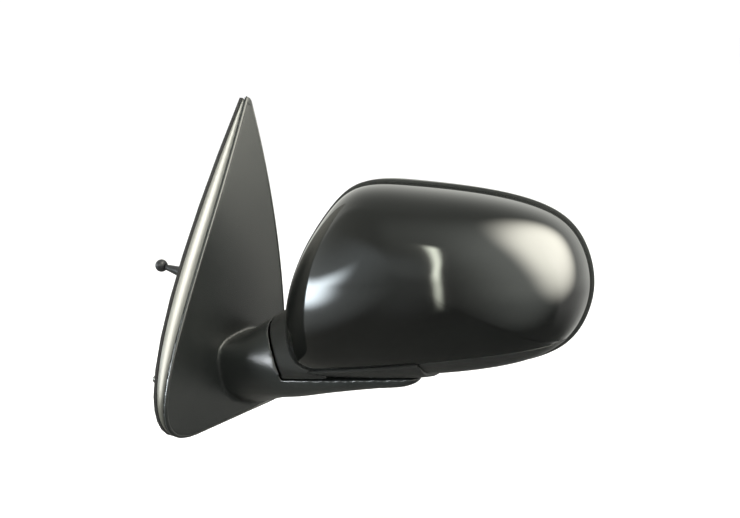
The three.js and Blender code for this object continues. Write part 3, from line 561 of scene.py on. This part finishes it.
skirt_profile = [
    (SKIRT[0], SKIRT_ROUND), (SKIRT[0], 20 - SKIRT_ROUND), (SKIRT[0] + SKIRT_ROUND, 20),
    (SKIRT[1] - SKIRT_ROUND, 20), (SKIRT[1], 20 - SKIRT_ROUND), (SKIRT[1], SKIRT_ROUND),
    (SKIRT[1] - SKIRT_ROUND, 0), (SKIRT[0] + SKIRT_ROUND, 0),
]
skirt_plastic = grained_plastic("skirt_plastic", (0.02, 0.021, 0.019), (0.026, 0.027, 0.024), 0.42, 0.00003)
skirt = shown("skirt", hoop(on_skirt, skirt_profile, 360), skirt_plastic, "foot", "satin_black", "sail_frame")
light_only(
    skirt,
    soft_box("low_kicker", (-0.85, -1.25, 0.2), (0.0, -0.05, 0.06), (1.1, 1.3), 125, (1.0, 0.98, 0.88)),
    soft_box("high_kicker", (-0.8, -0.7, 1.15), (0.0, -0.05, 0.1), (1.1, 1.1), 110, (1.0, 0.98, 0.88)),
)


def keep(material, *names):
    """CAD solids whose shape is right get a finish and slightly broken edges."""
    for name in names:
        node = nodes[name]
        node.data.materials.clear()
        node.data.materials.append(material)
        edge = node.modifiers.new("broken_edges", "BEVEL")
        edge.width, edge.segments, edge.limit_method = 0.00025, 2, "ANGLE"
        edge.angle_limit = math.radians(40)


foam = Finish("gasket_foam")
foam_cells = foam.node("TexVoronoi", {}, {"Vector": foam.place(), "Scale": 900.0})
keep(
    foam.done(
        Base_Color=foam.colour(foam_cells, (0.008, 0.008, 0.008), (0.02, 0.02, 0.02)), Roughness=0.95,
        Normal=foam.bump(foam_cells, 0.0004),
    ),
    "door_gasket",
)

# ---- Bracket and studs ----
# A die-cast light-alloy bracket carries everything: a ribbed plate at the door, a beam through the arm and
# the round seat of the fold pivot. Three M6 studs screwed into it pass through the door skin.


def cast_metal(name, dark, light):
    """Light alloy as it leaves the die: cloudy, slightly rough, with faint flow marks."""
    finish = Finish(name)
    clouds = finish.ramp(finish.noise(35.0, 5.0, 0.6), 0.35, 0.65)
    pits = finish.noise(1400.0, 3.0)
    return finish.done(
        Base_Color=finish.colour(clouds, dark, light), Metallic=1.0, Roughness=clouds * 0.15 + 0.38,
        Normal=finish.bump(pits, 0.00008),
    )


bracket_metal = cast_metal("cast_alloy", (0.36, 0.36, 0.35), (0.5, 0.5, 0.48))
keep(bracket_metal, "base_bracket")


def plated_steel(name, shade, rough):
    """Bright zinc plating with fine turning marks."""
    finish = Finish(name)
    marks = finish.noise(700.0, 4.0, 0.7)
    stains = finish.ramp(finish.noise(60.0, 4.0), 0.3, 0.8)
    dull = tuple(c * 0.75 for c in shade)
    return finish.done(
        Base_Color=finish.colour(stains, shade, dull), Metallic=1.0, Roughness=marks * 0.12 + rough,
        Normal=finish.bump(marks, 0.00002),
    )


steel = plated_steel("zinc_plate", (0.62, 0.63, 0.64), 0.2)
STUDS = {"upper": (22, 108), "front": (-50, -32), "rear": (58, -44)}
THREAD_PITCH, THREAD_TURNS, THREAD_STEPS, THREAD_CORE, THREAD_CREST = 1.0, 23, 24, 2.42, 2.98
STUD_START = -22  # of the thread, on the door's side


def stud(y, z):
    """A rod with a rolled thread, from its boss out through the door."""
    bm = bmesh.new()
    half = THREAD_PITCH / 2
    profile = [(THREAD_CORE, 0), (THREAD_CREST, half * 0.8), (THREAD_CREST, half * 1.2), (THREAD_CORE, THREAD_PITCH)]
    bmesh.ops.spin(
        bm, geom=drawn(bm, profile), axis=(0, 0, 1), cent=(0, 0, 0), angle=2 * math.pi * THREAD_TURNS,
        steps=THREAD_STEPS * THREAD_TURNS, dvec=(0, 0, THREAD_PITCH / THREAD_STEPS),
    )
    bmesh.ops.remove_doubles(bm, verts=bm.verts, dist=1e-3)
    bmesh.ops.recalc_face_normals(bm, faces=bm.faces)
    core = turned([(0, 0.2), (2.3, 0.2), (2.45, 1.2), (2.45, 25), (2.6, 25.4), (2.6, 26.4), (0, 26.4)], 32)
    rod = together(bm, core)
    return put(rod, Matrix.Translation((STUD_START, y, z)) @ Matrix.Rotation(math.radians(90), 4, "Y"))


for place, (y, z) in STUDS.items():
    shown("threaded_stud_" + place, stud(y, z), steel, "foot", "steel", "stud_" + place)

# ---- Adjusting stick ----
# A moulded nylon stick with a ball end tilts in a gimbal ring inside a socket that is screwed to the
# bracket. A small disc at its inner end pulls three wires.
STICK_PIVOT, STICK_RISE = Vector((-14, -8.5, 42.8)), math.radians(11)
BALL_RADIUS, STICK_LENGTH = 5, 36
stick_frame = Matrix.Translation(STICK_PIVOT) @ Matrix((
    (0, -math.sin(STICK_RISE), -math.cos(STICK_RISE), 0),
    (1, 0, 0, 0),
    (0, -math.cos(STICK_RISE), math.sin(STICK_RISE), 0),
    (0, 0, 0, 1),
))
ball_centre = STICK_LENGTH - BALL_RADIUS
stick_profile = [(0, -9), (9.7, -9), (10, -8.7), (10, -5.9), (9.7, -5.6), (5.3, -5.6), (5, -5.2), (5, 6), (4.7, 8.4)]
stick_profile += [(4.4 + (2.1 - 4.4) * k / 8, 10 + 17 * k / 8) for k in range(9)]
stick_profile += [
    (BALL_RADIUS * math.sin(a), ball_centre - BALL_RADIUS * math.cos(a))
    for a in (math.asin(2.1 / BALL_RADIUS) + k * (math.pi - math.asin(2.1 / BALL_RADIUS)) / 20 for k in range(20))
] + [(0, STICK_LENGTH)]
pin = put(turned([(0, -9.4), (1.3, -9.4), (1.5, -9.2), (1.5, 9.2), (1.3, 9.4), (0, 9.4)], 32),
          Matrix.Rotation(math.radians(90), 4, "Y"))
nylon = grained_plastic("nylon", (0.016, 0.017, 0.018), (0.026, 0.027, 0.028), 0.4, 0.00003)
shown(
    "ball_stick", put(together(turned(stick_profile, 64), pin), stick_frame), nylon,
    "stick", "nylon", "adjusting_stick",
)
keep(nylon, "stick_socket", "stick_ring")
keep(steel, "socket_screw_1", "socket_screw_2", "stick_wire_1", "stick_wire_2", "stick_wire_3")

# ---- Fold pivot ----
# The head turns on a hollow steel post pressed into the seat. A fixed ring with two lugs and a slotted ring
# above it stop the fold, and a coil spring under a washer and a spring ring holds the head down.
keep(steel, "pivot_post", "stop_ring", "slot_ring", "spring_washer", "retaining_ring", "fold_spring")

# ---- Cables ----
# Three pull cables in black plastic sheaths run from the socket down inside the sail, along the arm,
# up through the post and across the head to the glass mount.
sheath = Finish("cable_sheath")
sheath_marks = sheath.noise(220.0, 2.0)
keep(
    sheath.done(
        Base_Color=sheath.colour(sheath_marks, (0.012, 0.012, 0.012), (0.022, 0.022, 0.022)),
        Roughness=sheath_marks * 0.2 + 0.35,
    ),
    *[f"{end}_cable_{k}" for end in ("foot", "head") for k in (1, 2, 3)],
)

# ---- Head frame ----
# A second casting turns on the post and holds the housing and the glass mount with long screws.
keep(bracket_metal, "head_frame")
keep(steel, *[f"{kind}_screw_{k}" for kind in ("frame", "mount") for k in (1, 2, 3)])

# ---- Front cap ----
# A thin glossy black moulding like an egg cut lengthways clips over the front of the head. Its rear edge runs
# slanting round the head, and its lower edge meets the trim and the housing's chin.
HEAD_OUTLINE = [
    (-37, 32), (-33, 60), (-18, 94), (6, 125), (29, 146), (70, 140.5), (120, 132.5), (163, 120.5),
    (190, 102), (200, 66), (193, 38), (173, 11), (120, 2.8), (60, 1.3), (0, 1.2), (-31, 4),
]
HEAD_MIDDLE = Vector((80, 73))
GIRTH_W, NOSE_W, RIM_W, RIM_SHRINK, RIM_ROUND = 8, -64, 38, 0.07, 3.5
NOSE_POWER, CHIN_POWER, CAP_WALL, SEAM = 2.6, 1.6, 2.5, 0.35
SIDE_SHARE = 0.3  # of the way from the rim to the nose, up to the girth
SEAM_U, SEAM_RUN = -80, 340  # where the two seam planes start, and the run that their slopes are given over
REAR_W, REAR_SLOPE = -14, 40
CHIN_V, CHIN_SLOPE = 3.5, 24


def head_curve(t):
    return spline(HEAD_OUTLINE, t)


def narrowing(w):
    """How much smaller the outline is at a depth behind the girth."""
    return 1 - RIM_SHRINK * ((w - GIRTH_W) / (RIM_W - GIRTH_W)) ** 2


def head_point(t, s, distance=0.0):
    """A point (u, w, v) on the head's outside. s runs from the rim's side, 0, over the girth to the nose, 1."""
    edge = inward(head_curve, t, distance, -1)
    if s < SIDE_SHARE:
        w = RIM_W - RIM_ROUND - (RIM_W - RIM_ROUND - GIRTH_W) * s / SIDE_SHARE
        share = narrowing(w)
    else:
        offset = head_curve(t) - HEAD_MIDDLE
        power = NOSE_POWER + CHIN_POWER * max(0.0, -offset.y / offset.length) ** 2
        step = math.sin((s - SIDE_SHARE) / (1 - SIDE_SHARE) * math.pi / 2) ** (2 / NOSE_POWER)
        w = GIRTH_W - (GIRTH_W - NOSE_W - distance) * step
        share = max(0.0, 1 - step**power) ** (1 / power)
    u, v = HEAD_MIDDLE + (edge - HEAD_MIDDLE) * share
    return Vector((u, w, v))


def ahead(point):
    """How far a point is in front of the slanting plane of the cap's rear edge."""
    return (REAR_SLOPE * (point.x - SEAM_U) - SEAM_RUN * (point.y - REAR_W)) / math.hypot(REAR_SLOPE, SEAM_RUN)


def above(point):
    """How far a point is over the sloping plane of the cap's lower edge."""
    return (SEAM_RUN * (point.z - CHIN_V) - CHIN_SLOPE * (point.x - SEAM_U)) / math.hypot(SEAM_RUN, CHIN_SLOPE)


def first(t, test):
    """The first s along the head at which the test holds."""
    steps = 60
    k = next((k for k in range(steps + 1) if test(head_point(t, k / steps))), steps)
    low, high = max(k - 1, 0) / steps, k / steps
    for _ in range(14):
        middle = (low + high) / 2
        low, high = (low, middle) if test(head_point(t, middle)) else (middle, high)
    return high


CAP_COLUMNS, CAP_ROWS = 240, 72
cap_starts = [
    first(k / CAP_COLUMNS, lambda p: ahead(p) > 0 and above(p) > 0) for k in range(CAP_COLUMNS)
]


def cap_place(t, j):
    start = cap_starts[round(t * CAP_COLUMNS) % CAP_COLUMNS]
    return head_point(t, start + (1 - start) * j)


def open_skin(across, down, place):
    """Like skin, but its ends stay open, for a wall to be given thickness."""
    bm = wrapped(across, down, place)
    bmesh.ops.recalc_face_normals(bm, faces=bm.faces)
    return bm


def facing(bm, inside):
    """Turns an open skin's faces away from a point inside it."""
    face = max(bm.faces, key=lambda f: f.calc_area())
    if (face.calc_center_median() - Vector(inside)).dot(face.normal) < 0:
        bmesh.ops.reverse_faces(bm, faces=bm.faces)
    return bm


def walled(piece, wall, edge_round):
    """Gives an open skin its wall, inwards, and rounds the wall's edges."""
    thick = piece.modifiers.new("wall", "SOLIDIFY")
    thick.thickness, thick.offset = wall * MM, -1
    edge = piece.modifiers.new("rounded_edge", "BEVEL")
    edge.width, edge.segments, edge.limit_method = edge_round * MM, 3, "ANGLE"
    edge.angle_limit = math.radians(50)
    return piece


gloss = Finish("gloss_black")
peel = gloss.noise(160.0, 2.0)
haze = gloss.ramp(gloss.noise(18.0, 3.0), 0.3, 0.8)
gloss_black = gloss.done(
    Base_Color=gloss.colour(haze, (0.003, 0.0035, 0.0032), (0.005, 0.0055, 0.005)),
    Roughness=haze * 0.03 + 0.07, Normal=gloss.bump(peel, 0.000006), IOR=1.55, Coat_Weight=0.5, Coat_Roughness=0.03,
)
cap = shown(
    "front_cover", put(facing(open_skin(CAP_COLUMNS, CAP_ROWS, cap_place), HEAD_MIDDLE.to_3d().xzy), fold_frame),
    gloss_black, "head", "gloss_black", "front_cap",
)
walled(cap, CAP_WALL, 0.45)

# ---- Lower trim ----
# A separate black strip closes the head's underside ahead of the housing, from its middle to its outer end.
TRIM_U = 84


def trim_edge():
    """The place along the outline, on the underside, where the trim ends."""
    low, high = 0.72, 0.9
    for _ in range(20):
        middle = (low + high) / 2
        point = head_point(middle, first(middle, lambda p: ahead(p) > 0))
        low, high = (middle, high) if point.x > TRIM_U else (low, middle)
    return high


TRIM_END = trim_edge()
TRIM_COLUMNS = 90
trim_start = next(
    k / 400 for k in range(200, 400)
    if above(head_point(k / 400, first(k / 400, lambda p: ahead(p) > 0))) < -SEAM
)


def trim_place(t, j):
    t = trim_start + (TRIM_END - 0.001 - trim_start) * t
    low = first(t, lambda p: ahead(p) > 0)
    high = first(t, lambda p: ahead(p) > 0 and above(p) > -SEAM)
    return head_point(t, low + (high - low) * j)


trim_plastic = grained_plastic("trim_plastic", (0.01, 0.011, 0.0105), (0.015, 0.016, 0.015), 0.32, 0.00008)
trim = shown(
    "chin_trim", put(facing(open_skin(TRIM_COLUMNS, 16, trim_place), HEAD_MIDDLE.to_3d().xzy), fold_frame),
    trim_plastic, "head", "grained_black", "lower_trim",
)
walled(trim, CAP_WALL, 0.3)

# ---- Housing ----
# The rear half of the head is one grained black moulding. Its wall turns over a rounded rim into a flat
# bezel and then down into the tub that the glass moves in, and its inboard end carries the neck.
TUB_BOX = ((18, 184), (13, 128))
TUB_FLOOR, TUB_ROUND = 5, 2.0
curve_points = [head_curve(k / 720) for k in range(720)]
curve_box = [(min(p[i] for p in curve_points), max(p[i] for p in curve_points)) for i in (0, 1)]


def tub_curve(t):
    fit = [
        low + (value - c0) / (c1 - c0) * (high - low)
        for value, (c0, c1), (low, high) in zip(head_curve(t), curve_box, TUB_BOX)
    ]
    return Vector(fit)


def tub_point(t, distance, w):
    u, v = inward(tub_curve, t, distance, -1)
    return Vector((u, w, v))


tub_middle = Vector((sum(TUB_BOX[0]) / 2, sum(TUB_BOX[1]) / 2))


def rim_point(t, distance, w):
    edge = HEAD_MIDDLE + (head_curve(t) - HEAD_MIDDLE) * narrowing(w)
    to_middle = (HEAD_MIDDLE - edge).normalized()
    u, v = edge + to_middle * distance
    return Vector((u, w, v))


def tub_floor(t, share):
    u, v = tub_middle.lerp(inward(tub_curve, t, 0, -1), share)
    return Vector((u, TUB_FLOOR, v))


def bezel(t, share):
    return tub_point(t, -TUB_ROUND, RIM_W).lerp(rim_point(t, RIM_ROUND, RIM_W), share)


def quarter(k, steps):
    return math.sin(k / steps * math.pi / 2), math.cos(k / steps * math.pi / 2)


housing_rows = [lambda t, k=k: tub_floor(t, k / 4 + 0.002) for k in range(4)]
housing_rows += [lambda t, k=k: tub_point(t, 0, TUB_FLOOR + (RIM_W - TUB_ROUND - TUB_FLOOR) * k / 6) for k in range(7)]
housing_rows += [
    lambda t, k=k: tub_point(t, -TUB_ROUND * (1 - quarter(k, 5)[1]), RIM_W - TUB_ROUND * (1 - quarter(k, 5)[0]))
    for k in range(1, 6)
]
housing_rows += [lambda t, k=k: bezel(t, k / 8) for k in range(1, 9)]
housing_rows += [
    lambda t, k=k: rim_point(t, RIM_ROUND * (1 - quarter(k, 6)[0]), RIM_W - RIM_ROUND * (1 - quarter(k, 6)[1]))
    for k in range(1, 6)
]
SIDE_ROWS = 30
HOUSING_COLUMNS = 240
columns = [k / HOUSING_COLUMNS for k in range(HOUSING_COLUMNS)]
nearest = round(TRIM_END * HOUSING_COLUMNS)
columns[nearest - 1], columns[nearest] = TRIM_END - 0.0006, TRIM_END + 0.0006
housing_ends = [
    first(t, lambda p: ahead(p) > -SEAM and (above(p) > -SEAM or not on_chin)) for t in columns
    for on_chin in [t > TRIM_END]
]


def housing_place(t, j):
    column = round(t * HOUSING_COLUMNS) % HOUSING_COLUMNS
    row = round(j * (len(housing_rows) + SIDE_ROWS))
    if row < len(housing_rows):
        return housing_rows[row](columns[column])
    return head_point(columns[column], housing_ends[column] * (row - len(housing_rows)) / SIDE_ROWS)


housing_plastic = grained_plastic("housing_plastic", (0.01, 0.011, 0.0105), (0.015, 0.016, 0.015), 0.38, 0.0001)
shell = open_skin(HOUSING_COLUMNS, len(housing_rows) + SIDE_ROWS, housing_place)
bmesh.ops.holes_fill(shell, edges=[
    edge for edge in shell.edges if edge.is_boundary and all(abs(end.co.y - TUB_FLOOR) < 0.01 for end in edge.verts)
])
shell = facing(shell, (20, 20, 8))
housing = shown(
    "rear_housing", put(shell, fold_frame), housing_plastic, "head", "grained_black", "mirror_housing",
)
walled(housing, CAP_WALL, 0.35)
NECK_PLAY, NECK_START, NECK_END = 1.2, 24, 138
neck_wall = carved(
    put(turned(socket_profile(-NECK_PLAY, NECK_PLAY)), fold_frame),
    ("INTERSECT", arm_skin(0, NECK_START, NECK_END)),
    ("INTERSECT", put(block((-60, -70, 0), (4, 70, 90)), fold_frame)),
    ("DIFFERENCE", put(carved(
        turned(socket_profile(-NECK_PLAY - WALL, NECK_PLAY + WALL)),
        ("INTERSECT", put(arm_skin(WALL, NECK_START, NECK_END), fold_frame.inverted())),
    ), fold_frame)),
    ("DIFFERENCE", put(skin(120, 60, lambda t, j: head_point(t, j, 0.6)), fold_frame)),
    ("DIFFERENCE", put(turned([(0, -5), (RING_SEAT, -5), (RING_SEAT, 15), (0, 15)], 64), fold_frame)),
)
shown("neck", softened(neck_wall, 0.8, 3), housing_plastic, "head", "grained_black", "mirror_housing")

# ---- Glass ----
# A slightly convex silvered glass is held by the rim of a nylon plate, which tilts on a small cross in the
# ears of a mount screwed to the tub's floor. Three wires end behind the plate.
GLASS_W, GLASS_WALL, GLASS_BEND, GLASS_INSET = 31, 2.2, 1400, 2.4
GLASS_PIVOT = Vector((103, 15, 74))


def domed(t, distance, share, w):
    """A point of a sheet bent like the glass. share is 1 at its edge and 0 in its middle."""
    edge = inward(tub_curve, t, distance, -1)
    offset = (edge - GLASS_PIVOT.xz) * share
    return Vector((GLASS_PIVOT.x + offset.x, w - offset.length_squared / (2 * GLASS_BEND), GLASS_PIVOT.z + offset.y))


def dished(rows, columns=200):
    return skin(columns, len(rows) - 1, lambda t, j: domed(t, *rows[round(j * (len(rows) - 1))]))


LIP_INSET = GLASS_INSET + 1.5
pane_inset = LIP_INSET + SEAM
pane_rows = [(pane_inset + 0.4, k / 12 + 0.001, GLASS_W) for k in range(12)]
pane_rows += [(pane_inset + 0.4, 1, GLASS_W), (pane_inset, 1, GLASS_W - 0.35), (pane_inset, 1, GLASS_W - GLASS_WALL)]
pane_rows += [(pane_inset, 1 - k / 6 + 0.001, GLASS_W - GLASS_WALL) for k in range(1, 7)]
silver = Finish("silvered_glass")
silver_tone = silver.noise(6.0)
silver_glass = silver.done(
    Base_Color=silver.colour(silver_tone, (0.86, 0.885, 0.9), (0.88, 0.905, 0.915)), Metallic=1.0,
    Roughness=silver_tone * 0.01 + 0.01, Coat_Weight=1.0, Coat_Roughness=0.0,
)
shown("glass_pane", put(dished(pane_rows), fold_frame), silver_glass, "glass", "mirror_coat", "mirror_glass")
back_w = GLASS_W - GLASS_WALL - SEAM
plate_rows = [(GLASS_INSET, k / 6 + 0.001, back_w - 2.6) for k in range(6)]
plate_rows += [
    (GLASS_INSET + 0.4, 1, back_w - 2.6), (GLASS_INSET, 1, back_w - 2.2), (GLASS_INSET, 1, GLASS_W),
    (GLASS_INSET + 0.15, 1, GLASS_W + 0.3), (GLASS_INSET + 0.4, 1, GLASS_W + 0.4), (LIP_INSET - 0.3, 1, GLASS_W + 0.4),
    (LIP_INSET, 1, GLASS_W + 0.1), (LIP_INSET, 1, back_w),
]
plate_rows += [(LIP_INSET, 1 - k / 6 + 0.001, back_w) for k in range(1, 7)]
EAR_NEAR, EAR_FAR, EAR_HALF, EAR_DEPTH = 8.6, 13, 4.5, 4
ears = [
    block(
        (GLASS_PIVOT.x + left, GLASS_PIVOT.y - EAR_DEPTH, GLASS_PIVOT.z - EAR_HALF),
        (GLASS_PIVOT.x + right, back_w - 2, GLASS_PIVOT.z + EAR_HALF),
    ) for left, right in ((EAR_NEAR, EAR_FAR), (-EAR_FAR, -EAR_NEAR))
]
shown(
    "glass_holder", put(together(dished(plate_rows), *ears), fold_frame), nylon, "glass", "nylon", "glass_backing",
)
keep(nylon, "glass_mount", "glass_cross")
keep(steel, "glass_wire_1", "glass_wire_2", "glass_wire_3")
